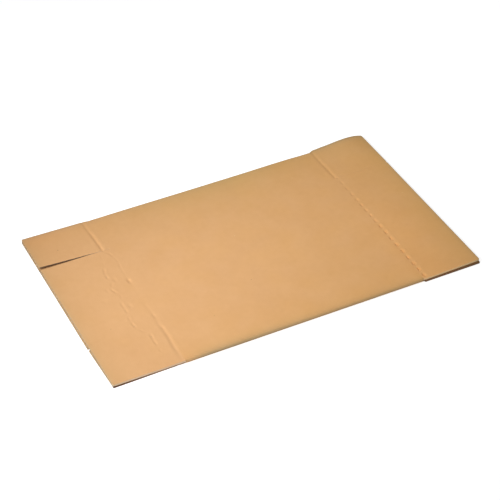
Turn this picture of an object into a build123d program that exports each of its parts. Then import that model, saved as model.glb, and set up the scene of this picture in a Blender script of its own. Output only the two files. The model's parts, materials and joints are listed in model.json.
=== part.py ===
from build123d import *
import os
from math import atan2, degrees, hypot

# A corrugated shipping box, glued up as a sleeve and folded flat, lying on one of its two faces.
# Four panels go round the sleeve: a narrow one and a wide one on top, the same again underneath.
# Each panel has a flap at both ends. The flaps are parted by knife cuts and bend at pressed scores.
# +X runs along the flutes from end to end, +Y from the near fold to the far fold, +Z up.
# The origin lies on the ground, under the middle of the folded box.

# The board, with the papers and the wave that its cut ends show
board = 2.6
liner = 0.35
medium = 0.35
flute_pitch = 6.4
flute_crest = 1.0
flute_depth = 1.0

# The blank: panel widths across the flutes, flap lengths along them
blank_length = 488.5
narrow_panel = 65.0
wide_panel = 224.0
narrow_flap_left_length = 81.35
wide_flap_left_length = 88.85
narrow_flap_right_length = 78.65
wide_flap_right_length = 76.65
cut_width = 0.4

# How the sleeve lies now that it is folded flat. Free of the folds, the flaps at the right have
# spread a little beyond them, and the lower one at the near left has drawn in.
layer_gap = 0.9
layer_slip = 0.8
flap_spread = 0.5
under_inset = 1.0

# The glued joint, in the lower layer
joint_edge = 69.0
joint_gap = 1.0
joint_trim = 3.0
lap_width = 32.0
lap_thickness = 0.7
lap_ramp = 4.0
lap_end_gap = 3.0
lap_taper = 9.0

# The scores that the flaps bend at
score_gap = 0.3
score_width = 3.0
score_depth = 0.5

# The set that the top flaps have taken
narrow_left_rise = 1.6
cut_flare = 3.4
wide_right_rise = 1.4
bow_rise = 4.2
bow_tip = 24.0
bow_pull = 0.6

# Heights of the two layers
top_of_stack = 2 * board + layer_gap
under_top_board = board + layer_gap

# Edges of the folded box and the line of the top cuts
depth = narrow_panel + wide_panel
near = -depth / 2
far = depth / 2
half_length = (blank_length + layer_slip) / 2
top_cut = far - narrow_panel

# Ends and scores of the top layer
top_left = -half_length + layer_slip
top_right = half_length
top_narrow_left = top_left + narrow_flap_left_length
top_narrow_right = top_right - narrow_flap_right_length
top_wide_left = top_left + wide_flap_left_length
top_wide_right = top_right - wide_flap_right_length

# Ends and scores of the lower layer
under_left = -half_length
under_right = half_length - layer_slip
under_narrow_left = under_left + narrow_flap_left_length
under_narrow_right = under_right - narrow_flap_right_length
under_wide_left = under_left + wide_flap_left_length
under_wide_right = under_right - wide_flap_right_length

# Each fold runs along the stretch that both of its panels share
near_fold = (max(top_wide_left, under_narrow_left), min(top_wide_right, under_narrow_right))
far_fold = (max(top_narrow_left, under_wide_left), min(top_narrow_right, under_wide_right))
fold_radius = top_of_stack / 2

# The two edges of the board at the glued joint
raw_edge = near + joint_edge
lap_edge = raw_edge + joint_gap


def area(x_low, x_high, y_low, y_high, mode=Mode.ADD):
    """A rectangle between two corners, in the sketch that is open."""
    with Locations(((x_low + x_high) / 2, (y_low + y_high) / 2)):
        Rectangle(x_high - x_low, y_high - y_low, mode=mode)


def fold(x_ends, y_middle, outward):
    """The board turned back on itself, as a half ring that runs between two values of x."""
    with BuildSketch(Plane.YZ.offset(x_ends[0])) as ring:
        with Locations((y_middle, fold_radius)):
            Circle(fold_radius)
            Circle(layer_gap / 2, mode=Mode.SUBTRACT)
            inner_half = (Align.MIN if outward < 0 else Align.MAX, Align.CENTER)
            Rectangle(top_of_stack, top_of_stack, align=inner_half, mode=Mode.SUBTRACT)
    extrude(ring.sketch, amount=x_ends[1] - x_ends[0])


def score(x, y_low, y_high, height, upward):
    """A pressed score: a shallow groove with sloping sides across one face of the board."""
    tip = height - upward * score_depth
    over = height + upward * score_depth
    with BuildSketch(Plane(origin=(0, y_high, 0), x_dir=(1, 0, 0), z_dir=(0, -1, 0))) as groove:
        with BuildLine():
            Polyline((x, tip), (x + score_width, over), (x - score_width, over), close=True)
        make_face()
    extrude(groove.sketch, amount=y_high - y_low, mode=Mode.SUBTRACT)


def flute_mouths(x, outward, first, last):
    """The open flutes along a cut end: two rows of tunnels, one on each side of the wave.

    The end runs between two points, each given as y and z, in the middle of the board."""
    run, climb = last[0] - first[0], last[1] - first[1]
    middle = (x, first[0] + run / 2, first[1] + climb / 2)
    tunnel = board - 2 * liner - medium
    foot = flute_pitch - flute_crest - medium
    side_angle = degrees(atan2(tunnel, (foot - flute_crest) / 2))
    count = int(hypot(run, climb) / flute_pitch)
    half = board / 2 - liner
    end = Plane(origin=middle, x_dir=(0, outward * run, outward * climb), z_dir=(outward, 0, 0))
    with BuildSketch(end) as mouths:
        with Locations((0, tunnel / 2 - half)):
            with GridLocations(flute_pitch, 1, count, 1):
                Trapezoid(foot, tunnel, side_angle)
        with Locations((0, half - tunnel / 2)):
            with GridLocations(flute_pitch, 1, count - 1, 1):
                Trapezoid(foot, tunnel, side_angle, rotation=180)
    extrude(mouths.sketch, amount=-flute_depth, mode=Mode.SUBTRACT)


def flap_side(outward, hinge_x, y, rise=0.0, bow=0.0):
    """A top flap seen along its score, on an upright plane: from the hinge line out to the tip.

    The tip stands higher than the score by rise, and the board between them bulges up by bow, which
    draws the tip in. A cubic curve from the score to the tip is 4/9 of its third point's height at
    the crown."""
    length = outward * ((top_right if outward > 0 else top_left) - hinge_x)
    length -= bow_pull if bow > 0 else 0
    pull = (length - bow_tip, rise * (1 - bow_tip / length) + bow * 9 / 4)
    lean = (length / 3, rise / 3)
    side = Plane(origin=(hinge_x, y, top_of_stack), x_dir=(outward, 0, 0), z_dir=(0, -outward, 0))
    with BuildSketch(side) as section:
        with BuildLine():
            Bezier((score_width / 2, 0), lean, pull, (length, rise))
            Line((length, rise), (length, rise - board))
            below = [(length, rise - board), (pull[0], pull[1] - board), (lean[0], lean[1] - board)]
            Bezier(*below, (score_gap / 2, -board))
            Polyline((score_gap / 2, -board), (score_gap / 2, -score_depth), (score_width / 2, 0))
        make_face()
    return section.sketch


with BuildPart() as box_sleeve:
    # Top layer: the narrow and the wide panel, one sheet with slits at its corners
    with BuildSketch(Plane.XY.offset(under_top_board)):
        area(top_narrow_left, top_narrow_right, top_cut + cut_width / 2, far)
        area(top_wide_left, top_wide_right, near, top_cut - cut_width / 2)
        area(top_wide_left, top_narrow_right, top_cut - cut_width, top_cut + cut_width)
        area(*near_fold, near, near + fold_radius, mode=Mode.SUBTRACT)
        area(*far_fold, far - fold_radius, far, mode=Mode.SUBTRACT)
    extrude(amount=board)

    # Lower layer: two panels with their flaps, parted by the glued joint
    with BuildSketch():
        area(under_left, under_right, near, raw_edge)
        area(under_left, under_right, lap_edge, far)
        area(under_left, under_wide_left, lap_edge, lap_edge + joint_trim, mode=Mode.SUBTRACT)
        area(under_wide_right, under_right, lap_edge, lap_edge + joint_trim, mode=Mode.SUBTRACT)
        area(under_left, under_narrow_left, near, near + under_inset, mode=Mode.SUBTRACT)
        area(under_narrow_right, under_right, near - flap_spread, near)
        area(under_wide_right, under_right, far, far + flap_spread)
        area(*near_fold, near, near + fold_radius, mode=Mode.SUBTRACT)
        area(*far_fold, far - fold_radius, far, mode=Mode.SUBTRACT)
    extrude(amount=board)

    # The two long folds
    fold(near_fold, near + fold_radius, -1)
    fold(far_fold, far - fold_radius, 1)

    # Glue lap: the wide panel's edge strip, pressed thin and glued inside the narrow panel
    with BuildSketch(Plane.YZ.offset(under_wide_left + lap_end_gap)):
        with BuildLine():
            Polyline(
                (lap_edge + lap_ramp, board),
                (lap_edge, board + lap_thickness),
                (raw_edge - lap_width, board + lap_thickness),
                (raw_edge - lap_width, board),
                close=True,
            )
        make_face()
    extrude(amount=under_wide_right - under_wide_left - 2 * lap_end_gap)
    with BuildSketch(Plane.XY.offset(board)):
        for x, inward in ((under_wide_left, 1), (under_wide_right, -1)):
            corner = x + inward * lap_end_gap
            with BuildLine():
                Polyline(
                    (corner, lap_edge),
                    (corner + inward * lap_taper, raw_edge - lap_width),
                    (corner, raw_edge - lap_width),
                    close=True,
                )
            make_face()
    extrude(amount=lap_thickness, mode=Mode.SUBTRACT)

    # Scores of the panels on top and of the lower flaps underneath
    for x in (top_narrow_left, top_narrow_right):
        score(x, top_cut + cut_width / 2, far, top_of_stack, 1)
    for x in (top_wide_left, top_wide_right):
        score(x, near, top_cut - cut_width / 2, top_of_stack, 1)
    for x in (under_narrow_left, under_narrow_right):
        score(x, near, raw_edge, 0, -1)
    for x in (under_wide_left, under_wide_right):
        score(x, lap_edge, far, 0, -1)

    # Flutes at the ends of the lower flaps
    first_left, first_right = near + under_inset, near - flap_spread
    for x, outward, first, last in ((under_left, -1, first_left, far), (under_right, 1, first_right, far + flap_spread)):
        flute_mouths(x, outward, (first, board / 2), (raw_edge, board / 2))
        flute_mouths(x, outward, (lap_edge + joint_trim, board / 2), (last, board / 2))

# Top flaps, each cut free along its sides. The one at the left of the narrow panel has lifted, and
# its cut has sprung open towards the mouth.
narrow_side = top_cut + cut_width / 2
wide_side = top_cut - cut_width / 2
flat_middle = top_of_stack - board / 2

with BuildPart() as narrow_flap_left:
    extrude(flap_side(-1, top_narrow_left, narrow_side, rise=narrow_left_rise), amount=far - narrow_side)
    with BuildSketch() as flare:
        with BuildLine():
            Polyline(
                (top_narrow_left, narrow_side),
                (top_left, narrow_side + cut_flare),
                (top_left, narrow_side),
                close=True,
            )
        make_face()
    extrude(flare.sketch, amount=2 * top_of_stack, mode=Mode.SUBTRACT)
    lifted_middle = flat_middle + narrow_left_rise
    flute_mouths(top_left, -1, (narrow_side + cut_flare, lifted_middle), (far, lifted_middle))

with BuildPart() as wide_flap_left:
    extrude(flap_side(-1, top_wide_left, near), amount=wide_side - near)
    flute_mouths(top_left, -1, (near, flat_middle), (wide_side, flat_middle))

# The flap at the right of the narrow panel bulges along its outer edge and is flat along the cut
narrow_outer = far + flap_spread
with BuildPart() as narrow_flap_right:
    outer_side = flap_side(1, top_narrow_right, narrow_outer, bow=bow_rise)
    loft([outer_side, flap_side(1, top_narrow_right, narrow_side)], ruled=True)
    flute_mouths(top_right, 1, (narrow_side, flat_middle), (narrow_outer, flat_middle))

# The wide one stands open at the near corner, and lies flat along the cut
wide_outer = near - flap_spread
with BuildPart() as wide_flap_right:
    outer_side = flap_side(1, top_wide_right, wide_outer, rise=wide_right_rise)
    loft([flap_side(1, top_wide_right, wide_side), outer_side], ruled=True)
    flute_mouths(top_right, 1, (wide_outer, flat_middle + wide_right_rise), (wide_side, flat_middle))

box_sleeve.part.label = "box_sleeve"
narrow_flap_left.part.label = "narrow_flap_left"
wide_flap_left.part.label = "wide_flap_left"
narrow_flap_right.part.label = "narrow_flap_right"
wide_flap_right.part.label = "wide_flap_right"

os.makedirs("parts", exist_ok=True)
export_step(box_sleeve.part, "parts/box_sleeve.step")
export_step(narrow_flap_left.part, "parts/narrow_flap_left.step")
export_step(wide_flap_left.part, "parts/wide_flap_left.step")
export_step(narrow_flap_right.part, "parts/narrow_flap_right.step")
export_step(wide_flap_right.part, "parts/wide_flap_right.step")
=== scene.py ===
import json
import math

import bpy
import numpy as np
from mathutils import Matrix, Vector


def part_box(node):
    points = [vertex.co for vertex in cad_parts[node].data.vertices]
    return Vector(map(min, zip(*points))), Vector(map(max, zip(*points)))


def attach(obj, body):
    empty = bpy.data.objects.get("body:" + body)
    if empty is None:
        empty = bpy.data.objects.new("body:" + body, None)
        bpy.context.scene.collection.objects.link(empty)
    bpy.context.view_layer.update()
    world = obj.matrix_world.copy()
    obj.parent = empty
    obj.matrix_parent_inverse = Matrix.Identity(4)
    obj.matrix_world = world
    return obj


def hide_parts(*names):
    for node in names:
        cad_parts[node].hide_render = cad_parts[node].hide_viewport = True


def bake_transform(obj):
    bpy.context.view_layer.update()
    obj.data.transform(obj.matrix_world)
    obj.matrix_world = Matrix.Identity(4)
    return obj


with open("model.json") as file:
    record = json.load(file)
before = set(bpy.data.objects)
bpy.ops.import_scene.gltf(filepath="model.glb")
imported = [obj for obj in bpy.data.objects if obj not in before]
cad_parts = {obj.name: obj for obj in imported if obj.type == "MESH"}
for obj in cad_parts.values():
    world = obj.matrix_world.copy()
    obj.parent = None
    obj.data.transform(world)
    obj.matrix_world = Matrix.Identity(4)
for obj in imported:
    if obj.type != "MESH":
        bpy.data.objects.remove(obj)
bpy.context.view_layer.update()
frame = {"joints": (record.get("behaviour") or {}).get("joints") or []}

# The set. The box lies on a white studio table and is seen from the front left, from a little under
# forty degrees. One lamp stands at the left with a grid that narrows its light, and white surroundings
# fill the shadows. To the eye the table is as white as the background, so that its edge doesn't show.
target = Vector((0.00483, 0.00515, 0.0))
azimuth = math.radians(-26.78)
elevation = math.radians(39.82)
distance = 2.094
focal_length = 121.4
lamp_place = Vector((-1.254, -0.60, 1.053))
lamp_aim = Vector((-0.128, -0.040, 0.0))
lamp_width = 0.5
lamp_power = 0.685
lamp_spread = 0.42
surroundings = 0.5
table_white = 0.9
table_glow = 0.55

camera_data = bpy.data.cameras.new("camera")
camera_data.lens = focal_length
camera_data.sensor_width = 36.0
camera = bpy.data.objects.new("camera", camera_data)
toward_camera = Vector((math.sin(azimuth) * math.cos(elevation),
                        -math.cos(azimuth) * math.cos(elevation),
                        math.sin(elevation)))
camera.location = target + distance * toward_camera
camera.rotation_euler = toward_camera.to_track_quat("Z", "Y").to_euler()
bpy.context.collection.objects.link(camera)
bpy.context.scene.camera = camera
bpy.context.scene.view_settings.view_transform = "Standard"

lamp_data = bpy.data.lights.new("left_lamp", "AREA")
lamp_data.size = lamp_width
lamp_data.spread = lamp_spread
lamp_data.energy = lamp_power
lamp = bpy.data.objects.new("left_lamp", lamp_data)
lamp.location = lamp_place
lamp.rotation_euler = (lamp_place - lamp_aim).to_track_quat("Z", "Y").to_euler()
lamp.visible_camera = False
bpy.context.collection.objects.link(lamp)

seen_directly = ("Is Camera Ray", "Is Glossy Ray", "Is Transmission Ray")


def direct_view(tree):
    """A value that is 1 for what is looked at, mirrored or seen through, and 0 for light on the scene."""
    path = tree.nodes.new("ShaderNodeLightPath")
    value = path.outputs[seen_directly[0]]
    for name in seen_directly[1:]:
        larger = tree.nodes.new("ShaderNodeMath")
        larger.operation = "MAXIMUM"
        tree.links.new(value, larger.inputs[0])
        tree.links.new(path.outputs[name], larger.inputs[1])
        value = larger.outputs[0]
    return value


world = bpy.data.worlds.new("white_surroundings")
world.use_nodes = True
bpy.context.scene.world = world
background = world.node_tree.nodes["Background"]
background.inputs["Color"].default_value = (1.0, 1.0, 1.0, 1.0)
level = world.node_tree.nodes.new("ShaderNodeMapRange")
level.inputs["To Min"].default_value = surroundings
level.inputs["To Max"].default_value = 1.0
world.node_tree.links.new(direct_view(world.node_tree), level.inputs["Value"])
world.node_tree.links.new(level.outputs["Result"], background.inputs["Strength"])

table_material = bpy.data.materials.new("white_table")
table_material.use_nodes = True
tree = table_material.node_tree
white = tree.nodes["Principled BSDF"]
white.inputs["Base Color"].default_value = (table_white, table_white, table_white, 1.0)
white.inputs["Roughness"].default_value = 0.9
white.inputs["Specular IOR Level"].default_value = 0.1
glow = tree.nodes.new("ShaderNodeEmission")
glow.inputs["Strength"].default_value = table_glow
lit = tree.nodes.new("ShaderNodeAddShader")
tree.links.new(white.outputs[0], lit.inputs[0])
tree.links.new(glow.outputs[0], lit.inputs[1])
choice = tree.nodes.new("ShaderNodeMixShader")
tree.links.new(direct_view(tree), choice.inputs["Fac"])
tree.links.new(white.outputs[0], choice.inputs[1])
tree.links.new(lit.outputs[0], choice.inputs[2])
tree.links.new(choice.outputs[0], tree.nodes["Material Output"].inputs["Surface"])

table_mesh = bpy.data.meshes.new("table")
half_side = 6.0
just_under = -0.0002
table_mesh.from_pydata([(-half_side, -half_side, just_under), (half_side, -half_side, just_under),
                        (half_side, half_side, just_under), (-half_side, half_side, just_under)],
                       [], [(0, 1, 2, 3)])
table_mesh.materials.append(table_material)
table = bpy.data.objects.new("table", table_mesh)
bpy.context.collection.objects.link(table)

# The sleeve: four panels of corrugated board in one piece, glued into a ring and folded flat. The board
# is two facing papers glued to the crests of a wavy one, and the flutes run from end to end. The under
# flaps are part of the same sheet. Sizes from here on are in millimetres, with places from the CAD model.
board = 2.6
liner = 0.35
fluting = 0.35
flute_pitch = 6.4
raw_edge_from_fold = 69.0
joint_gap = 1.0
joint_trim = 3.0
under_inset = 1.0
crease = 2.0
slit = 0.3
hairline = 0.03
fold_cells = 17
under_score_width = 1.4
under_score_depth = 0.5
slot_opening = 3.6
slot_rise = 1.6
sharp_angle = math.radians(50.0)
rim_reach = 1.1
pairs_at_once = 20_000_000
metre = 0.001


def corners(node):
    """Lowest and highest corner of a CAD node, in millimetres."""
    return np.array([list(corner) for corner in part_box(node)]) / metre


(under_left, spread_near, _), (under_right, _, stack) = corners("box_sleeve")
(top_left, near, _), _ = corners("wide_flap_left")
far = corners("narrow_flap_left")[1][1]
flap_spread = near - spread_near
top_right = corners("wide_flap_right")[1][0]
score = {joint["name"]: joint["pos_m"][0] / metre for joint in frame["joints"]}
narrow_left, narrow_right = score["narrow_left_fold"], score["narrow_right_fold"]
wide_left, wide_right = score["wide_left_fold"], score["wide_right_fold"]
under_narrow_left = narrow_left + under_left - top_left
under_narrow_right = narrow_right + under_right - top_right
under_wide_left = wide_left + under_left - top_left
under_wide_right = wide_right + under_right - top_right
layer_slip = top_left - under_left
cut = (corners("narrow_flap_right")[0][1] + corners("wide_flap_right")[1][1]) / 2
raw_edge = near + raw_edge_from_fold
lap_edge = raw_edge + joint_gap
radius = stack / 2
near_fold = (wide_left + crease, min(wide_right - crease, under_narrow_right))
far_fold = (under_wide_left, narrow_right - crease)

# Lengths along the outer face, from the raw edge round both folds to the edge with the glue lap
near_turn = raw_edge - near - radius
top_start = near_turn + math.pi * radius
far_turn = top_start + far - near - 2 * radius
under_start = far_turn + math.pi * radius
loop_length = under_start + far - radius - lap_edge


def lines(*stops):
    """Grid lines through the stops, pairs of a place and the longest step allowed from there on."""
    stretches = [np.linspace(here, there, math.ceil((there - here) / step - 1e-6), endpoint=False)
                 for (here, step), (there, _) in zip(stops, stops[1:])]
    return np.append(np.concatenate(stretches), stops[-1][0])


def ease(share):
    """A share held between 0 and 1 and smoothed: three of its squares less two of its cubes."""
    share = np.clip(share, 0.0, 1.0)
    return share * share * (3.0 - 2.0 * share)


def valley(gap, width):
    """A rounded furrow of depth 1 at a distance gap from its line, between two low banks."""
    return 0.14 * np.exp(-((np.abs(gap) / width - 2.0) ** 2)) - np.exp(-((gap / width) ** 2))


def sway(x, y):
    """How far the top layer bows up or down: three slow waves that cross each other.

    Along the far side it sags at the left and bulges at the right, eased to nothing at the cut."""
    waves = (0.06 * np.sin(x / 23.0 + y / 41.0 + 0.6) + 0.05 * np.sin(x / 37.0 - y / 17.0)
             + 0.03 * np.sin(y / 9.0 + x / 60.0 + 2.0))
    sag = -1.2 + 0.6 * ease((x + 170.0) / 60.0) + 0.6 * ease((x + 60.0) / 110.0)
    bulge = (0.8 * ease((x - 50.0) / 70.0) - 0.5 * ease((x - 128.0) / 26.0)
             + 0.5 * np.exp(-(((x - 180.0) / 9.0) ** 2)))
    return waves + (sag + bulge) * ease((y - cut) / (far - cut))


def narrow_scores(x, y):
    """The two furrows of the narrow panel, each bent to the left and shallower close to the far side."""
    at_side = ease((y - 108.0) / 27.0)
    strength = 0.85 * (0.5 + 0.5 * ease((124.0 - y) / 12.0))
    left = strength * valley(x - narrow_left - 1.0 + 1.3 * at_side, 2.1)
    at_side = ease((y - 105.0) / 15.0)
    right = (0.85 - 0.2 * at_side) * valley(x - narrow_right - 0.9 + 1.1 * at_side, 2.2)
    return left + right


def left_wide_score(x, y):
    """The furrow at the left of the wide panel, which wavers and is deep only towards the near fold."""
    wavering = np.interp(y, (-130, -115, -95, -75, -60, -40, 13, 50),
                         (-1, -0.5, 1.0, -0.3, 1.5, -0.4, 0.2, -1.0))
    strength = 0.04 + 0.13 * ease((-24.0 - y) / 22.0)
    strength += 0.40 * ease((-66.0 - y) / 28.0) * ease((y + 138.0) / 26.0)
    return strength * valley(x - wide_left - wavering, 2.5)


def right_wide_score(x, y):
    """The furrow at the right of the wide panel, wider inwards and deeper over every second flute."""
    strength = 0.22 + 0.22 * ease((20.0 - y) / 110.0) - 0.08 * ease((y - 25.0) / 40.0)
    gap = x - wide_right - 0.3
    furrow = 0.8 * valley(gap, np.where(gap < 0.0, 4.2, 2.6))
    dashes = ease(0.35 + 0.9 * np.sin(math.pi * y / flute_pitch + 0.9 * np.sin(y / 23.0)))
    return strength * (furrow + 3.4 * dashes * valley(x - wide_right - 1.4, 1.6))


def wrinkles(x, y):
    """Two broken furrows beside the left score: one along a crooked line, one that runs to it from the cut.

    Both come and go with the sum of two sine waves."""
    broken = ease(0.38 + 0.5 * np.sin(y / 5.3 + 0.6) + 0.6 * np.sin(y / 2.1))
    crooked = np.interp(y, (-115, -98, -85, -70, -54, -37, -23, -8, 8, 22, 27, 38, 54, 72),
                        (-172.2, -172.1, -171.4, -182, -183.2, -180, -180.3, -175, -181, -173,
                         -176.4, -176.8, -171, -167.2))
    ends = ease((y + 126.0) / 14.0) * ease((80.0 - y) / 50.0)
    depth = 0.50 * ends * (0.05 + 0.95 * broken) * valley(x - crooked, 1.5)
    from_cut = np.interp(y, (12, 38, 53, 70, cut), (-155.0, -155.0, -152.6, -156.0, -163.0))
    depth += 0.30 * ease((y - 8.0) / 50.0) * (0.25 + 0.75 * broken) * valley(x - from_cut, 1.6)
    return depth


# The round dents: places along the flutes and across, sizes and depths
dents = ((-155.2, 12.5, 2.4, 1.1), (-172.5, -29.3, 2.2, 0.45), (-170.0, 22.0, 2.2, 0.55),
         (-196.2, -9.3, 2.0, 0.4), (-104.8, 8.0, 2.6, 0.42), (-102.4, -11.7, 2.0, 0.3),
         (-108.8, 55.2, 2.0, 0.34), (-206.7, -84.3, 2.4, 0.25), (-154.5, -58.0, 2.0, 0.38),
         (-153.5, -82.0, 2.0, 0.4), (-225.5, 42.2, 2.0, 0.25), (-186.0, 8.0, 1.8, 0.33))


def pressed(x, y):
    """How far the outer paper of the top layer is pressed in, as a height: scores, wrinkles and dents.

    The cut parts what belongs to the narrow panel from the wide one's. A faint crease crosses the corner
    of the wide left flap, and each dent is a bell that is longer across the flutes than along them."""
    wide = ease((cut - y) / 0.8)
    depth = (1.0 - wide) * narrow_scores(x, y)
    depth += wide * (left_wide_score(x, y) + right_wide_score(x, y) + wrinkles(x, y))
    corner = np.interp(y, (40, 47, 60, 74), (-216, -230, -232, -243))
    depth += 0.13 * ease((y - 38.0) / 5.0) * ease((cut - y) / 6.0) * valley(x - corner, 1.2)
    for dent_x, dent_y, size, deep in dents:
        depth -= deep * np.exp(-(((x - dent_x) / size) ** 2) - ((y - dent_y) / 1.6 / size) ** 2)
    return depth


def skewed(x, y):
    """Where the lower layer really lies: it was glued a little out of square, so that its ends slant.

    Each panel is square to its own fold, and is off by a straight line that grows towards the joint."""
    return x + layer_slip - np.interp(y, (near, raw_edge, lap_edge, far), (-0.9, 0.75, 1.05, -0.3))


def past_ends(x, fold):
    """Where x lies beyond the ends of a fold, past the middle of the slit at each end."""
    return (x < fold[0] - slit / 2) | (x > fold[1] + slit / 2)


def in_slit(x, fold):
    """Where x lies in the slit at either end of a fold."""
    before, after = fold[0] - slit / 2, fold[1] + slit / 2
    return (np.abs(x - before) < slit / 2) | (np.abs(x - after) < slit / 2)


def sleeve_points(along, x, depth, press):
    """The sleeve at a depth under its outer face: rows at lengths along it, columns at places x.

    The outer face runs straight, turns half a circle at each fold and comes back, and the depth is
    measured square to it. Beyond the ends of a fold the two layers go straight on to the cut edge.
    The top follows sway and, by the share press, what is pressed into it."""
    s, x = np.broadcast_arrays(along[:, None], x[None, :])
    first = np.clip((s - near_turn) / radius, 0.0, math.pi)
    second = np.clip((s - far_turn) / radius, 0.0, math.pi)
    straight = (np.clip(s - top_start, 0.0, far_turn - top_start) - np.minimum(s, near_turn)
                - np.maximum(s - under_start, 0.0))
    y = raw_edge + straight + radius * (np.sin(second) - np.sin(first)) + depth * np.sin(first + second)
    z = radius * (np.cos(second) - np.cos(first)) + depth * np.cos(first + second)
    on_top = ((1.0 - np.cos(first + second)) / 2.0) ** 2
    half = (1.0 - 1.0 / fold_cells) / 2.0
    for turn, fold, edge, inward, top_now in ((first, near_fold, near, 1.0, first > math.pi / 2),
                                              (second, far_fold, far, -1.0, second < math.pi / 2)):
        flat = (turn > 0.0) & (turn < math.pi) & past_ends(x, fold)
        left_of_fold = x < fold[0] - slit / 2
        right_of_fold = x > fold[1] + slit / 2
        share = np.clip(np.minimum(turn, math.pi - turn) / math.pi / half, 0.0, 1.0)
        spread = flap_spread * (right_of_fold & ~top_now)
        drawn_in = under_inset * (1.0 + ease((x - under_left) / (fold[0] - under_left)))
        spread = spread - drawn_in * (left_of_fold & ~top_now & (inward > 0))
        tucked = np.interp(x, (narrow_left + crease, fold[0]), (0.4, 1.5))
        spread = spread - tucked * ((x > narrow_left) & left_of_fold & top_now & (inward < 0))
        y = np.where(flat, edge + inward * (radius - (radius + spread) * share), y)
        z = np.where(flat, np.where(top_now, stack - depth, depth), z)
        on_top = np.where(flat, top_now * 1.0, on_top)
    z = z + on_top * (sway(x, y) + press * pressed(x, y))
    left_score = np.where(y < (raw_edge + lap_edge) / 2, under_narrow_left, under_wide_left)
    right_score = np.where(y < (raw_edge + lap_edge) / 2, under_narrow_right, under_wide_right)
    under = valley(x - left_score, under_score_width) + valley(x - right_score, under_score_width)
    z = z - under_score_depth * press * under * (on_top == 0.0)
    return np.stack([x + (skewed(x, y) - x) * (1.0 - ease(on_top * 8.0)), y, z], -1)


def sleeve_cells(along, x):
    """Which cells between the grid lines are board: all but the cuts, the gaps and the flaps on top."""
    s = ((along[1:] + along[:-1]) / 2)[:, None]
    x = ((x[1:] + x[:-1]) / 2)[None, :]
    top_y = near + radius + s - top_start
    middle = math.pi * radius / 2
    half_cell = math.pi * radius / fold_cells / 2
    in_near = (x > near_fold[0]) & (x < near_fold[1])
    in_far = (x > far_fold[0]) & (x < far_fold[1])
    wide = (x > wide_left + crease) & (x < wide_right - crease)
    narrow = (x > narrow_left + crease) & (x < narrow_right - crease)
    near_part = s - near_turn
    far_part = s - far_turn
    on_near = (near_part > 0) & (near_part < 2 * middle)
    on_far = (far_part > 0) & (far_part < 2 * middle)
    on_top = (s > top_start) & (s < far_turn)
    trimmed = (s > loop_length - joint_trim) & ((x < under_wide_left) | (x > under_wide_right))
    kept = (s < near_turn) | ((s > under_start) & ~trimmed)
    kept = kept | (on_near & (near_part < middle - half_cell) & ~in_slit(x, near_fold)) | (on_near & in_near)
    kept = kept | (on_near & (near_part > middle + half_cell) & ~in_slit(x, near_fold) & wide)
    kept = kept | (on_far & (far_part > middle + half_cell) & ~in_slit(x, far_fold)) | (on_far & in_far)
    kept = kept | (on_far & (far_part < middle - half_cell) & ~in_slit(x, far_fold) & narrow)
    kept = kept | (on_top & (top_y < cut - hairline) & wide) | (on_top & (top_y > cut + hairline) & narrow)
    return kept | (on_top & (np.abs(top_y - cut) < hairline) & wide & narrow)


def closed_sheet(outer, inner, kept=None, joins=()):
    """Two grids of points made one closed sheet of paper.

    The outer face looks along columns crossed with rows, the inner one the other way, and a wall
    closes the sheet wherever a kept cell has no kept neighbour. The last value of each corner says
    how near it is to a cut edge, falling off with distance, and walls at the joins don't count."""
    rows, columns = outer.shape[0] - 1, outer.shape[1] - 1
    kept = np.ones((rows, columns), bool) if kept is None else kept
    corner = np.arange((rows + 1) * (columns + 1)).reshape(rows + 1, columns + 1)
    a, b, c, d = corner[:-1, :-1], corner[:-1, 1:], corner[1:, 1:], corner[1:, :-1]
    front = np.stack([a, b, c, d], -1)[kept]
    back = np.stack([d, c, b, a], -1)[kept] + corner.size
    around = np.pad(kept, 1)
    walls = [np.stack([q, p, p + corner.size, q + corner.size], -1)[kept & ~beside]
             for p, q, beside in ((a, b, around[:-2, 1:-1]), (b, c, around[1:-1, 2:]),
                                  (c, d, around[2:, 1:-1]), (d, a, around[1:-1, :-2]))]
    walls = np.concatenate(walls)
    points = np.concatenate([outer.reshape(-1, 3), inner.reshape(-1, 3)])
    faces = np.concatenate([front, back, walls])
    kind = np.repeat([0, 1, 2], [len(front), len(back), len(walls)])
    rim_at = np.unique(walls[:, :2])
    rim_at = rim_at[~np.isin(np.round(points[rim_at, 0], 3), np.round(joins, 3))]
    nearness = np.zeros(len(points))
    used = np.unique(faces)
    if len(rim_at):
        for some in np.array_split(used, max(1, len(used) * len(rim_at) // pairs_at_once)):
            gap = np.linalg.norm(points[some, None, :] - points[None, rim_at, :], axis=2).min(axis=1)
            nearness[some] = np.exp(-gap / rim_reach)
    renumbered = np.zeros(len(points), int)
    renumbered[used] = np.arange(len(used))
    return points[used], renumbered[faces], kind, nearness[used]


def fading(gap, reach):
    """1 where the gap is nothing or less, falling off as an exponential over the reach."""
    return np.exp(-np.clip(gap, 0.0, None) / reach)


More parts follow.
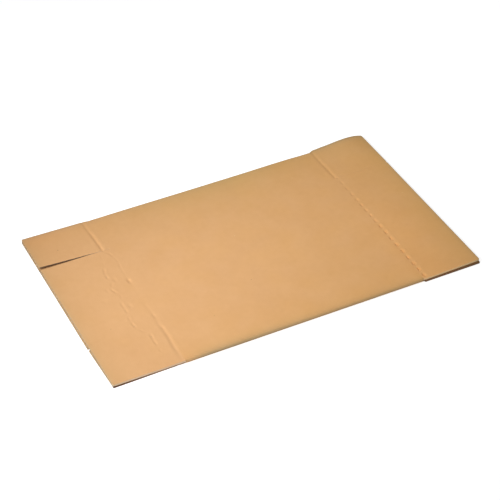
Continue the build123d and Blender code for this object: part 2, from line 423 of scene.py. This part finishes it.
def painted_falloff_and_warm_patch(x, y, unseen):
    """Painted shade at the two ends and along the far side, where less light falls, falling off inwards.

    Along the far side most red goes in the middle, and less green and blue towards the right. By the
    share unseen it is evenly brown instead. A broad patch at the right score is warmer."""
    kept = 1.0 - np.outer((0.09 + 0.02 * (y > cut)) * fading(x - top_left, 18.0), (1.0, 0.85, 1.15))
    kept -= np.outer(0.10 * fading(top_right - x, 22.0), (1.0, 0.85, 2.1))
    red = np.interp(x, (top_left, -70.0, 40.0, 160.0, top_right), (0.1, 0.9, 1.3, 0.8, 0.4))
    fades = 1.0 - 0.7 * ease((x - 150.0) / 50.0)
    far_shade_strength = np.stack([red, 0.7 * fades, 1.6 * fades], -1)
    far_shade_strength += (unseen * (x > far_fold[0]))[:, None] * (np.array((0.5, 0.8, 1.2)) - far_shade_strength)
    kept *= 1.0 - 0.14 * fading(far - y, 30.0)[:, None] * far_shade_strength
    warm = np.exp(-(((x - 185.0) / 38.0) ** 2)) * ease((60.0 - y) / 130.0)
    return kept * (1.0 + np.outer(warm, (0.065, 0.035, -0.02)))


def darker_greyer_rims(x, y, unseen):
    """The rims at the left, the right and the far side, darker at the very edge and greyer inside it."""
    inward = (x - top_left, top_right - x, far - y)
    dark = sum(strength * fading(gap, reach)
               for gap, strength, reach in zip(inward, (0.10, 0.20, 0.20), (1.2, 1.2, 1.6)))
    seen = 1.0 - unseen
    greys = np.array(((-0.02, 0.04, 0.12), (-0.10, -0.02, 0.20), (-0.12, -0.04, 0.20)))
    grey = sum(np.outer(fading(gap, reach) * share, tint)
               for gap, reach, share, tint in zip(inward, (3.0, 3.0, 4.0), (1.0, seen, seen), greys))
    return (1.0 - np.outer(dark, (1.05, 0.85, 0.9))) * (1.0 + grey)


def painted_fold_shade(x, y, on_fold):
    """Painted shade on the near fold, darkest where it bends and reaching in, most of all towards the left.
    """
    share = ease((x - near_fold[0]) / 30.0) * (0.25 - 0.12 * ease((x + 100.0) / 160.0))
    kept = 1.0 - np.outer(on_fold * share * fading(y - near, 6.0), (1.0, 0.60, 0.25))
    kept *= 1.0 - np.outer(on_fold * fading(y - near, 26.0), (-0.02, 0.0, 0.11))
    return kept * (1.0 - 0.40 * np.outer(on_fold * fading(y - near, 1.5), (1.0, 0.84, 0.60)))


def painted_gap_shade(x, y, z, on_fold):
    """The share of painted shade on the lower layer's near edge, under the top layer's overhang, and round
    the slot that has sprung open. A faint darkening runs along the top layer's near edge at the left.

    The shade is painted on the board under the slot and, where the slot is open, on the cut edges at its two
    sides."""
    low = z < board + 0.1
    edge = near - flap_spread * (x > near_fold[1]) + under_inset * (x < near_fold[0])
    gap_shade = np.where(x < 0.0, 0.93, 0.80) * low * ~on_fold * fading(y - edge, 2.0)
    gap_shade = np.maximum(gap_shade, 0.10 * (x < near_fold[0]) * ~low * fading(y - near, 0.6))
    slot_floor = np.exp(-(((y - cut - 3.2) / 2.4) ** 2)) * ease((narrow_left - 4.0 - x) / 20.0)
    opened = np.clip((narrow_left - x) / (narrow_left - top_left), 0.0, 1.0)
    beyond_cut = opened * (y > cut)
    side = np.exp(-np.abs(y - cut - slot_opening * beyond_cut) / 0.8) * ease((opened - 0.08) / 0.2)
    side = side * ease((stack + slot_rise * beyond_cut - z - 0.1) / 0.5)
    return np.maximum(gap_shade, 0.8 * np.maximum(low * slot_floor, side * ~low))


def painted_shade_and_tone(points):
    """The shares of its own red, green and blue that the paper keeps, under painted shade, darker rims and
    a warm patch.

    The mouths between the layers are a little darker with painted shade, most of all by the near
    corners. Round the back of the far fold and on the lower layer, which the front never shows, the far
    side is plain."""
    x, y, z = points.T
    on_fold = ~past_ends(x, near_fold)
    behind = (x > far_fold[0]) * (x < far_fold[1]) * ease((y - far + 1.0) / 0.5)
    unseen = np.maximum(z < stack / 2, behind)
    kept = painted_falloff_and_warm_patch(x, y, unseen) * darker_greyer_rims(x, y, unseen) * painted_fold_shade(x, y, on_fold)
    mouth_shade = np.clip(fading(x - top_left, 0.8) + fading(top_right - x, 0.8), 0.0, 1.0)
    mouth_shade *= ease((5.4 - z) / 0.6) * ease(z - 1.0)
    kept *= 1.0 - (mouth_shade * (0.02 + 0.18 * ease((-80.0 - y) / 10.0)))[:, None]
    return kept * (1.0 - np.outer(painted_gap_shade(x, y, z, on_fold), (0.92, 1.0, 1.04)))


def make_piece(name, sheets, body, replaced=()):
    """One object from closed sheets, each with the materials of its outer face, inner face and walls."""
    points, faces, paint, smooth, nearness, materials = [], [], [], [], [], []
    count = 0
    for (sheet_points, sheet_faces, kind, near_rim), finishes in sheets:
        for finish in finishes:
            if finish not in materials:
                materials.append(finish)
        points.append(sheet_points * metre)
        faces.append(sheet_faces + count)
        paint.append(np.array([materials.index(finish) for finish in finishes])[kind])
        smooth.append(kind < 2)
        nearness.append(near_rim)
        count += len(sheet_points)
    mesh = bpy.data.meshes.new(name)
    mesh.from_pydata(np.concatenate(points), [], np.concatenate(faces))
    for finish in materials:
        mesh.materials.append(finish)
    mesh.polygons.foreach_set("material_index", np.concatenate(paint).astype(np.int32))
    mesh.polygons.foreach_set("use_smooth", np.concatenate(smooth))
    mesh.set_sharp_from_angle(angle=sharp_angle)
    rim = np.concatenate(nearness).astype(np.float32)
    mesh.attributes.new("rim", "FLOAT", "POINT").data.foreach_set("value", rim)
    # The colour attribute holds painted shade at the ends, far side, near fold, gaps and slot, with darker
    # rims and a warm patch
    tint = np.ones((count, 4), np.float32)
    tint[:, :3] = painted_shade_and_tone(np.concatenate(points) / metre)
    mesh.attributes.new("shade_and_tone", "FLOAT_COLOR", "POINT").data.foreach_set("color", tint.ravel())
    mesh.update()
    piece = bpy.data.objects.new(name, mesh)
    bpy.context.collection.objects.link(piece)
    if replaced:
        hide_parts(*replaced)
    if body:
        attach(piece, body)
    return piece


# The kraft paper itself: long brown fibres laid mostly across the flutes, in clouds of slightly
# different tone, with a dark or pale fleck here and there. All the papers of the board share it.
dark_fleck = (0.34, 0.18, 0.07)
pale_fleck = (0.86, 0.60, 0.34)
# The tint of painted shade that deepens towards the right end, where less of the lamp's light falls
rightward_shade_tint = (0.99, 0.95, 0.80)
grain_height = 0.00004

# The places of a Mix node's colour sockets: its two inputs and its output
colour_a, colour_b, mixed = 6, 7, 2

fibre_group = bpy.data.node_groups.new("kraft_fibres", "ShaderNodeTree")
fibre_group.interface.new_socket("Vector", in_out="INPUT", socket_type="NodeSocketVector")
for output in ("Tone", "Dark Fleck", "Pale Fleck", "Grain", "Flutes", "Shade And Patches"):
    fibre_group.interface.new_socket(output, in_out="OUTPUT", socket_type="NodeSocketFloat")
group_in = fibre_group.nodes.new("NodeGroupInput")
group_out = fibre_group.nodes.new("NodeGroupOutput")


def noise(scale, detail, stretch=(1.0, 1.0, 1.0)):
    """A noise of that many features a metre, stretched along the axes, around the middle value 0."""
    mapping = fibre_group.nodes.new("ShaderNodeMapping")
    mapping.inputs["Scale"].default_value = stretch
    texture = fibre_group.nodes.new("ShaderNodeTexNoise")
    texture.inputs["Scale"].default_value = scale
    texture.inputs["Detail"].default_value = detail
    fibre_group.links.new(group_in.outputs["Vector"], mapping.inputs["Vector"])
    fibre_group.links.new(mapping.outputs["Vector"], texture.inputs["Vector"])
    return calculate(fibre_group, "SUBTRACT", texture.outputs["Fac"], 0.5)


def calculate(tree, operation, *values):
    """One Math node: each value is a number or the output of another node."""
    node = tree.nodes.new("ShaderNodeMath")
    node.operation = operation
    for socket, value in zip(node.inputs, values):
        if isinstance(value, (int, float)):
            socket.default_value = value
        else:
            tree.links.new(value, socket)
    return node.outputs[0]


def fleck(spacing, size, rarity, stretch):
    """Specks of that size in cells of that spacing, in metres, kept only in the cells above a rarity."""
    mapping = fibre_group.nodes.new("ShaderNodeMapping")
    mapping.inputs["Scale"].default_value = stretch
    cells = fibre_group.nodes.new("ShaderNodeTexVoronoi")
    cells.inputs["Scale"].default_value = 1.0 / spacing
    fibre_group.links.new(group_in.outputs["Vector"], mapping.inputs["Vector"])
    fibre_group.links.new(mapping.outputs["Vector"], cells.inputs["Vector"])
    channels = fibre_group.nodes.new("ShaderNodeSeparateColor")
    fibre_group.links.new(cells.outputs["Color"], channels.inputs["Color"])
    chosen = calculate(fibre_group, "GREATER_THAN", channels.outputs["Red"], rarity)
    close = fibre_group.nodes.new("ShaderNodeMapRange")
    close.interpolation_type = "SMOOTHSTEP"
    close.inputs["From Min"].default_value = size / spacing
    close.inputs["From Max"].default_value = 0.4 * size / spacing
    fibre_group.links.new(cells.outputs["Distance"], close.inputs["Value"])
    return calculate(fibre_group, "MULTIPLY", chosen, close.outputs["Result"])


clouds = noise(24.0, detail=3.0)
blotches = noise(120.0, detail=2.0)
fibres = noise(1.0, detail=3.0, stretch=(2300.0, 420.0, 2300.0))
threads = noise(1.0, detail=2.0, stretch=(900.0, 130.0, 900.0))
tone = calculate(fibre_group, "MULTIPLY_ADD", clouds, 1.2, 0.5)
tone = calculate(fibre_group, "MULTIPLY_ADD", blotches, 0.8, tone)
tone = calculate(fibre_group, "MULTIPLY_ADD", threads, 0.3, tone)
tone = calculate(fibre_group, "MULTIPLY_ADD", fibres, 0.4, tone)
fibre_group.links.new(tone, group_out.inputs["Tone"])
dark_specks = fleck(spacing=0.011, size=0.0005, rarity=0.72, stretch=(1.0, 0.5, 1.0))
fibre_group.links.new(dark_specks, group_out.inputs["Dark Fleck"])
pale_specks = fleck(spacing=0.014, size=0.0006, rarity=0.8, stretch=(0.6, 1.0, 1.0))
fibre_group.links.new(pale_specks, group_out.inputs["Pale Fleck"])
grain = calculate(fibre_group, "MULTIPLY_ADD", threads, 0.6, fibres)
fibre_group.links.new(grain, group_out.inputs["Grain"])
axes = fibre_group.nodes.new("ShaderNodeSeparateXYZ")
fibre_group.links.new(group_in.outputs["Vector"], axes.inputs[0])
# Painted shade that deepens along X towards the right end, with random patches of tone mixed in
rightward_shade = fibre_group.nodes.new("ShaderNodeMapRange")
rightward_shade.inputs["From Min"].default_value = -0.15
rightward_shade.inputs["From Max"].default_value = 0.25
fibre_group.links.new(axes.outputs["X"], rightward_shade.inputs["Value"])
patches = noise(30.0, detail=1.0)
uneven = calculate(fibre_group, "MULTIPLY_ADD", patches, 0.9, rightward_shade.outputs["Result"])
fibre_group.links.new(uneven, group_out.inputs["Shade And Patches"])
phase = calculate(fibre_group, "MULTIPLY", axes.outputs["Y"], 2.0 * math.pi / (flute_pitch * metre))
fibre_group.links.new(calculate(fibre_group, "SINE", phase), group_out.inputs["Flutes"])


def kraft(name, dark, pale, edge, worn, roughness, flute_print):
    """A kraft paper between two tones, with flecks, paler or darker by the share worn along cut edges.

    The relief is the grain of the fibres and, by the height flute_print in metres, the flutes under it."""
    material = bpy.data.materials.new(name)
    material.use_nodes = True
    tree = material.node_tree
    place = tree.nodes.new("ShaderNodeTexCoord")
    paper = tree.nodes.new("ShaderNodeGroup")
    paper.node_tree = fibre_group
    tree.links.new(place.outputs["Object"], paper.inputs["Vector"])
    rim = tree.nodes.new("ShaderNodeAttribute")
    rim.attribute_name = "rim"
    wear = calculate(tree, "MULTIPLY", rim.outputs["Fac"], worn)
    colour = None
    for share, tint in ((paper.outputs["Tone"], pale), (paper.outputs["Dark Fleck"], dark_fleck),
                        (paper.outputs["Pale Fleck"], pale_fleck), (wear, edge)):
        mix = tree.nodes.new("ShaderNodeMix")
        mix.data_type = "RGBA"
        tree.links.new(share, mix.inputs["Factor"])
        if colour is None:
            mix.inputs[colour_a].default_value = (*dark, 1.0)
        else:
            tree.links.new(colour, mix.inputs[colour_a])
        mix.inputs[colour_b].default_value = (*tint, 1.0)
        colour = mix.outputs[mixed]
    # Multiplied in: painted shade towards the right end, with random patches of tone
    shade_and_patches_mix = tree.nodes.new("ShaderNodeMix")
    tree.links.new(paper.outputs["Shade And Patches"], shade_and_patches_mix.inputs["Factor"])
    shade_and_patches_mix.inputs[colour_b].default_value = (*rightward_shade_tint, 1.0)
    # The mesh's colour attribute multiplies in its painted shade, darker rims and warm patch
    shade_and_tone = tree.nodes.new("ShaderNodeMix")
    shade_and_tone_here = tree.nodes.new("ShaderNodeAttribute")
    shade_and_tone_here.attribute_name = "shade_and_tone"
    shade_and_tone.inputs["Factor"].default_value = 1.0
    tree.links.new(shade_and_tone_here.outputs["Color"], shade_and_tone.inputs[colour_b])
    for mix in (shade_and_patches_mix, shade_and_tone):
        mix.data_type = "RGBA"
        mix.blend_type = "MULTIPLY"
        tree.links.new(colour, mix.inputs[colour_a])
        colour = mix.outputs[mixed]
    shader = tree.nodes["Principled BSDF"]
    tree.links.new(colour, shader.inputs["Base Color"])
    shader.inputs["Roughness"].default_value = roughness
    shader.inputs["Specular IOR Level"].default_value = 0.25
    height = calculate(tree, "MULTIPLY", paper.outputs["Flutes"], flute_print)
    height = calculate(tree, "MULTIPLY_ADD", paper.outputs["Grain"], grain_height, height)
    bump = tree.nodes.new("ShaderNodeBump")
    bump.inputs["Distance"].default_value = 1.0
    bump.inputs["Strength"].default_value = 1.0
    tree.links.new(height, bump.inputs["Height"])
    tree.links.new(bump.outputs["Normal"], shader.inputs["Normal"])
    return material


outer_kraft = kraft("outer_kraft", dark=(0.765, 0.425, 0.190), pale=(0.815, 0.468, 0.218),
                    edge=(0.80, 0.50, 0.27), worn=0.12, roughness=0.78, flute_print=0.000002)
inner_kraft = kraft("inner_kraft", dark=(0.70, 0.405, 0.195), pale=(0.765, 0.455, 0.225),
                    edge=(0.80, 0.50, 0.27), worn=0.35, roughness=0.82, flute_print=0.000016)
wave_kraft = kraft("wave_kraft", dark=(0.62, 0.37, 0.185), pale=(0.70, 0.43, 0.22),
                   edge=(0.76, 0.54, 0.33), worn=0.9, roughness=0.88, flute_print=0.0)
cut_paper = kraft("cut_paper", dark=(0.72, 0.51, 0.32), pale=(0.78, 0.58, 0.39),
                  edge=(0.78, 0.58, 0.39), worn=0.0, roughness=0.9, flute_print=0.0)
outer_paper = (outer_kraft, inner_kraft, cut_paper)
inner_paper = (inner_kraft, inner_kraft, cut_paper)
wavy_paper = (wave_kraft, wave_kraft, cut_paper)


def wave(length, width):
    """Height of the wavy paper, between -1 and 1, at a length across the flutes of a board so wide.

    It is a cosine that is in a trough at both edges of the board."""
    pitch = width / round(width / flute_pitch)
    return -np.cos(2.0 * math.pi * length / pitch)


def sleeve_columns(step, fine):
    """Grid lines across the sleeve at every edge, fold end and score, with a longest step between.

    Where fine is true they stand closer beside the scores, the creases and the end of the near fold."""
    stops = {under_left, under_right, under_narrow_left, under_narrow_left - slit, narrow_left + crease,
             far_fold[0] - slit, far_fold[0], near_fold[0] - slit, near_fold[0], far_fold[1],
             far_fold[1] + slit, near_fold[1], near_fold[1] + slit, wide_right - crease, under_wide_right,
             under_narrow_right, under_narrow_right + slit}
    stops.update(under_left + gap for gap in (0.4, 1.2, 3.0))
    stops.update(under_right - gap for gap in (0.4, 1.2, 3.0))
    if fine:
        for score_x in (under_narrow_left, under_wide_left, under_narrow_right, under_wide_right):
            stops.update(score_x + gap for gap in (-2.4, -1.2, 1.2, 2.4))
        stops.update(near_fold[0] + gap
                     for gap in (0.4, 0.8, 1.2, 1.6, 2.0, 2.5, 3.0, 3.6, 4.3, 5.2, 6.5, 9.0))
        stops.update(wide_right - crease - gap
                     for gap in (0.5, 1.0, 1.5, 2.0, 2.5, 3.0, 3.5, 4.1, 5.0, 6.2, 8.0, 11.0))
        stops.update(narrow_left + crease + gap for gap in (0.4, 0.8, 1.2, 1.7, 2.4, 3.4))
    stops = np.unique(np.round(sorted(stops), 3))
    apart = np.append(True, np.diff(stops) > 0.15)
    return lines(*((stop, step) for stop in stops[apart]))


fold_rows = np.linspace(0.0, math.pi * radius, fold_cells + 1)
trim_edge = loop_length - joint_trim
under_rows = lines((0.0, 0.4), (0.8, 1.2), (2.0, 8.0), (near_turn, 1.0))
top_rows = lines((near + radius, 0.7), (near + radius + 2.1, 1.6), (cut - 2.0, 0.6), (cut - hairline, 1.0),
                 (cut + hairline, 0.6), (cut + 2.0, 2.0), (far - radius - 2.1, 0.7), (far - radius, 1.0))
last_rows = lines((under_start, 8.0), (trim_edge - 2.0, 1.0), (trim_edge, 0.6), (loop_length, 1.0))
along = np.concatenate([under_rows[:-1], near_turn + fold_rows[:-1],
                        top_start + top_rows[:-1] - near - radius, far_turn + fold_rows[:-1], last_rows])
across = sleeve_columns(6.0, fine=True)
joins = (wide_left + crease, wide_right - crease, narrow_left + crease, narrow_right - crease)
kept = sleeve_cells(along, across)
outer_sheet = closed_sheet(sleeve_points(along, across, 0.0, 1.0),
                           sleeve_points(along, across, liner, 1.0), kept, joins)
make_piece("sleeve_outer_paper", [(outer_sheet, outer_paper)], "sleeve", ["box_sleeve"])

across = sleeve_columns(24.0, fine=False)
kept = sleeve_cells(along, across)
inner_sheet = closed_sheet(sleeve_points(along, across, board - liner, 0.0),
                           sleeve_points(along, across, board, 0.0), kept, joins)
make_piece("sleeve_inner_paper", [(inner_sheet, inner_paper)], "sleeve", ["box_sleeve"])

# Between them the wavy paper, its rows close enough together for the wave to be round. It is crushed flat
# at its cut edges, and at the middle of a fold where the layers go on past the fold's ends.
wave_step = flute_pitch / 8
cut_length = top_start + cut - near - radius
under_rows = lines((0.15, 0.15), (0.3, wave_step), (near_turn, 1.0))
top_rows = lines((top_start, wave_step), (cut_length - hairline, 1.0), (cut_length + hairline, wave_step),
                 (far_turn, 1.0))
last_rows = lines((under_start, wave_step), (trim_edge - 0.3, 0.3), (trim_edge, wave_step),
                  (loop_length - 0.3, 0.15), (loop_length - 0.15, 1.0))
along = np.concatenate([under_rows[:-1], near_turn + fold_rows[:-1], top_rows[:-1],
                        far_turn + fold_rows[:-1], last_rows])
kept = sleeve_cells(along, across)
height = wave(along, loop_length)[:, None] * np.ones(len(across))
crushed = np.zeros_like(height)
crushed[[0, -1]] = 1.0
for turn_start, fold in ((near_turn, near_fold), (far_turn, far_fold)):
    middle_row = np.searchsorted(along, turn_start + math.pi * radius / 2) - 1
    crushed[middle_row:middle_row + 2, past_ends(across, fold)] = 1.0
upper = sleeve_points(along, across, liner, 1.0)
lower = sleeve_points(along, across, board - liner, 0.0)
room = np.linalg.norm(upper - lower, axis=2, keepdims=True)
half = fluting / 2 / room
share = 0.5 - (0.5 - half) * height[:, :, None]
whole = 1.0 - crushed[:, :, None]
wave_sheet = closed_sheet(upper + (lower - upper) * (share - half) * whole,
                          upper + (lower - upper) * (1.0 - (1.0 - share - half) * whole), kept, joins)
make_piece("sleeve_wavy_paper", [(wave_sheet, wavy_paper)], "sleeve", ["box_sleeve"])

# The glue lap: the edge of the wide under panel, crushed thin and glued inside the narrow one. It steps
# up off its own panel, and its two ends are cut at a slant.
lap_width = 32.0
lap_thickness = 0.7
lap_ramp = 4.0
lap_end_gap = 3.0
lap_taper = 9.0
lap_ripple = 0.05
thinnest = 0.02
lap_rows = lines((raw_edge - lap_width, 0.8), (raw_edge, 0.5), (lap_edge + lap_ramp, 1.0))
lap_columns = np.linspace(0.0, 1.0, 41)
slant = np.clip((lap_edge - lap_rows) / (lap_edge - raw_edge + lap_width), 0.0, 1.0)
lap_left = under_wide_left + lap_end_gap + lap_taper * slant
lap_right = under_wide_right - lap_end_gap - lap_taper * slant
lap_x = lap_left[:, None] + (lap_right - lap_left)[:, None] * lap_columns[None, :]
lap_y = np.repeat(lap_rows[:, None], len(lap_columns), axis=1)
ripple = lap_ripple * np.sin(2.0 * math.pi * lap_y / flute_pitch)
thickness = lap_thickness * ease((lap_edge + lap_ramp - lap_y) / lap_ramp)
lap_top = np.stack([lap_x, lap_y, board + np.maximum(thickness + ripple * thickness, thinnest)], -1)
lap_under = np.stack([lap_x, lap_y, np.full_like(lap_y, board - thinnest / 2)], -1)
lap_sheet = closed_sheet(lap_top, lap_under)
make_piece("glue_lap", [(lap_sheet, (inner_kraft, outer_kraft, cut_paper))], "sleeve", ["box_sleeve"])


# The flaps on top: the ends of the same board, cut free from each other by a knife and pressed along a
# score, where they bend. Each is three papers, and a narrow crease joins it to its panel. A flap is
# worked out from its score to its tip, and from its near side to its far side.
edge_crush = 0.22
crush_reach = 0.5
corner_radius = 1.3
crease_columns = 21


def flap_points(flap, x, rows, part):
    """A top flap or its crease: the outer face for part 0, the inner face for part 1, between for a share.

    Rows run from 0 at the near side to 1 at the far side, and columns are places x. The height is
    that of the stack, plus the flap's own rise, plus sway and what is pressed in. The far side's tip
    is drawn back by the flap's pull, evenly less towards the near side and the score. Near the cut
    edges the two faces are crushed towards each other, falling off with the distance."""
    out = 1.0 if flap["tip"] > flap["score"] else -1.0
    from_score = (x - flap["score"]) * out
    length = abs(flap["tip"] - flap["score"])
    turned = np.clip(from_score - (length - corner_radius), 0.0, corner_radius)
    rounding = corner_radius - np.sqrt(corner_radius ** 2 - turned ** 2)
    freed = np.clip(from_score / slit, 0.0, 1.0)
    low = flap["near"] + flap["flare"] * np.clip(from_score / length, 0.0, 1.0) + rounding
    low = low - flap_spread * freed * flap["spread"][0]
    high = flap["far"] - rounding + flap_spread * freed * flap["spread"][1]
    x, share = np.broadcast_arrays(x[None, :], rows[:, None])
    x = x - out * flap["pull"] * share * (np.clip(from_score, 0.0, None) / length)[None, :]
    y = low[None, :] + (high - low)[None, :] * share
    beyond = np.clip(from_score, 0.0, None)[None, :] + 0.0 * share
    lift = flap["lift"](beyond, length, share) + sway(x, y)
    to_side = np.minimum(y - low[None, :], high[None, :] - y)
    to_tip = length - from_score[None, :]
    crush = edge_crush * (np.exp(-to_side / crush_reach) + np.exp(-to_tip / crush_reach))
    outer = stack + lift + pressed(x, y) - crush
    inner = stack - board + lift + 0.5 * crush
    return np.stack([x, y, outer + (inner - outer) * part], -1)


def flap_sheets(flap, columns, inner_columns):
    """The three papers of a flap or of a crease, as closed sheets with their materials."""
    width = flap["far"] - flap["near"]
    rows = lines((0.0, 0.3), (0.9, 0.8), (2.5, flap["step"]), (width - 2.5, 0.8), (width - 0.9, 0.3),
                 (width, 1.0)) / width
    liner_part = liner / board
    outer = closed_sheet(flap_points(flap, columns, rows, 0.0),
                         flap_points(flap, columns, rows, liner_part), joins=flap["joins"])
    inner = closed_sheet(flap_points(flap, inner_columns, rows, 1.0 - liner_part),
                         flap_points(flap, inner_columns, rows, 1.0), joins=flap["joins"])
    fluted = lines((0.5, width / round(width / flute_pitch) / 8), (width - 0.5, 1.0))
    rows = np.concatenate([[0.02, 0.25], fluted, [width - 0.25, width - 0.02]])
    height = wave(rows, width)[:, None]
    upper = flap_points(flap, inner_columns, rows / width, liner_part)
    lower = flap_points(flap, inner_columns, rows / width, 1.0 - liner_part)
    half = fluting / 2 / (upper - lower)[:, :, 2]
    middle = 0.5 - (0.5 - half) * height
    whole = ease(np.minimum(rows, rows[::-1]) / 0.5)[:, None]
    wavy = closed_sheet(upper + (lower - upper) * ((middle - half) * whole)[:, :, None],
                        upper + (lower - upper) * (1.0 - (1.0 - middle - half) * whole)[:, :, None],
                        joins=flap["joins"])
    return [(outer, outer_paper), (inner, inner_paper), (wavy, wavy_paper)]


def flap_and_crease(name, body, score_x, tip, near_side, far_side, lift, flare=0.0, spread=(0, 0), pull=0.0,
                    step=1.6, columns=()):
    """A flap that rides on its own body, and the crease between it and the sleeve.

    The crease reaches as far on each side of the score as the flap and the panel stop short of it. The
    near side is drawn in by flare towards the tip, and the two numbers in spread say how many times
    flap_spread the near and the far side stand out. Columns adds grid lines, and step parts the rows."""
    out = 1.0 if tip > score_x else -1.0
    start = score_x + out * crease
    flap = {"score": score_x, "tip": tip, "near": near_side, "far": far_side, "lift": lift, "flare": flare,
            "spread": spread, "pull": pull, "step": step, "joins": (start, score_x - out * crease)}
    reach = abs(tip - start)
    distances = lines((0.0, 0.4), (3.0, 0.8), (6.0, 2.5), (reach - 3.0, 0.7), (reach - 0.8, 0.2),
                      (reach, 1.0))
    distances = np.append(distances, np.abs(np.array(columns) - start))
    places = np.sort(start + out * np.unique(np.round(distances, 3)))
    inner_places = np.sort(start + out * lines((0.0, 6.0), (reach - 1.0, 0.34), (reach, 1.0)))
    make_piece(name + "_board", flap_sheets(flap, places, inner_places), body, [name])
    places = np.linspace(score_x - crease, score_x + crease, crease_columns)
    strip = make_piece(name + "_crease", flap_sheets(flap, places, places), None)
    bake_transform(strip)


# The narrow flap at the left has lifted a little and its cut has sprung open towards the mouth, so its
# near edge shows pale over the dark gap.
def narrow_left_lift(beyond, length, share):
    """A straight rise from the score to the tip."""
    return slot_rise * beyond / length


flap_and_crease("narrow_flap_left", "narrow_left", narrow_left, top_left, cut + hairline, far,
                narrow_left_lift, flare=slot_opening)

# The wide flap at the left is of the same board and lies flat on the under flaps. The paper beside its
# score is wrinkled, so the columns of its grid stand close there.
hair_up = 0.15
wrinkled_columns = np.arange(wide_left - 32.0, wide_left - 6.0, 1.1)


def wide_left_lift(beyond, length, share):
    """Flat, with the tip a hair up: a parabola from the score."""
    return hair_up * (beyond / length) ** 2


flap_and_crease("wide_flap_left", "wide_left", wide_left, top_left, near, cut - hairline, wide_left_lift,
                columns=wrinkled_columns)

# The narrow flap at the right bulges along the far side, where its tip is drawn in, and droops at its
# corner. Along the cut it is flat, level with its neighbour.
bulge_rise = 4.2
crown_before_tip = 24.0


def narrow_right_lift(beyond, length, share):
    """A bulge that grows evenly from the cut to the far side: a cubic curve with its crown near the tip.

    Two of the curve's control points lie on the panel and one at the tip, and the third of the four
    stands short of the tip, so high that the crown comes to the wanted rise."""
    turn = np.linspace(0.0, 1.0, 201)
    run = length * turn * (1 - turn) ** 2
    run += (length - crown_before_tip) * 3 * turn ** 2 * (1 - turn) + length * turn ** 3
    rise = bulge_rise * 9 / 4 * 3 * turn ** 2 * (1 - turn)
    return np.interp(beyond, run, rise) * share


flap_and_crease("narrow_flap_right", "narrow_right", narrow_right, top_right, cut + hairline, far,
                narrow_right_lift, spread=(0, 2.2), pull=1.0)

# The wide flap at the right stands open by the thickness of a coin at its near corner, over the dark
# under flap. It comes down to nothing at the score and towards the cut.
tip_rise = 1.4


def wide_right_lift(beyond, length, share):
    """A straight rise from the score to the tip, which fades towards the cut."""
    return tip_rise * beyond / length * (1.0 - share)


flap_and_crease("wide_flap_right", "wide_right", wide_right, top_right, near, cut - hairline,
                wide_right_lift, spread=(1, 0), step=1.1)
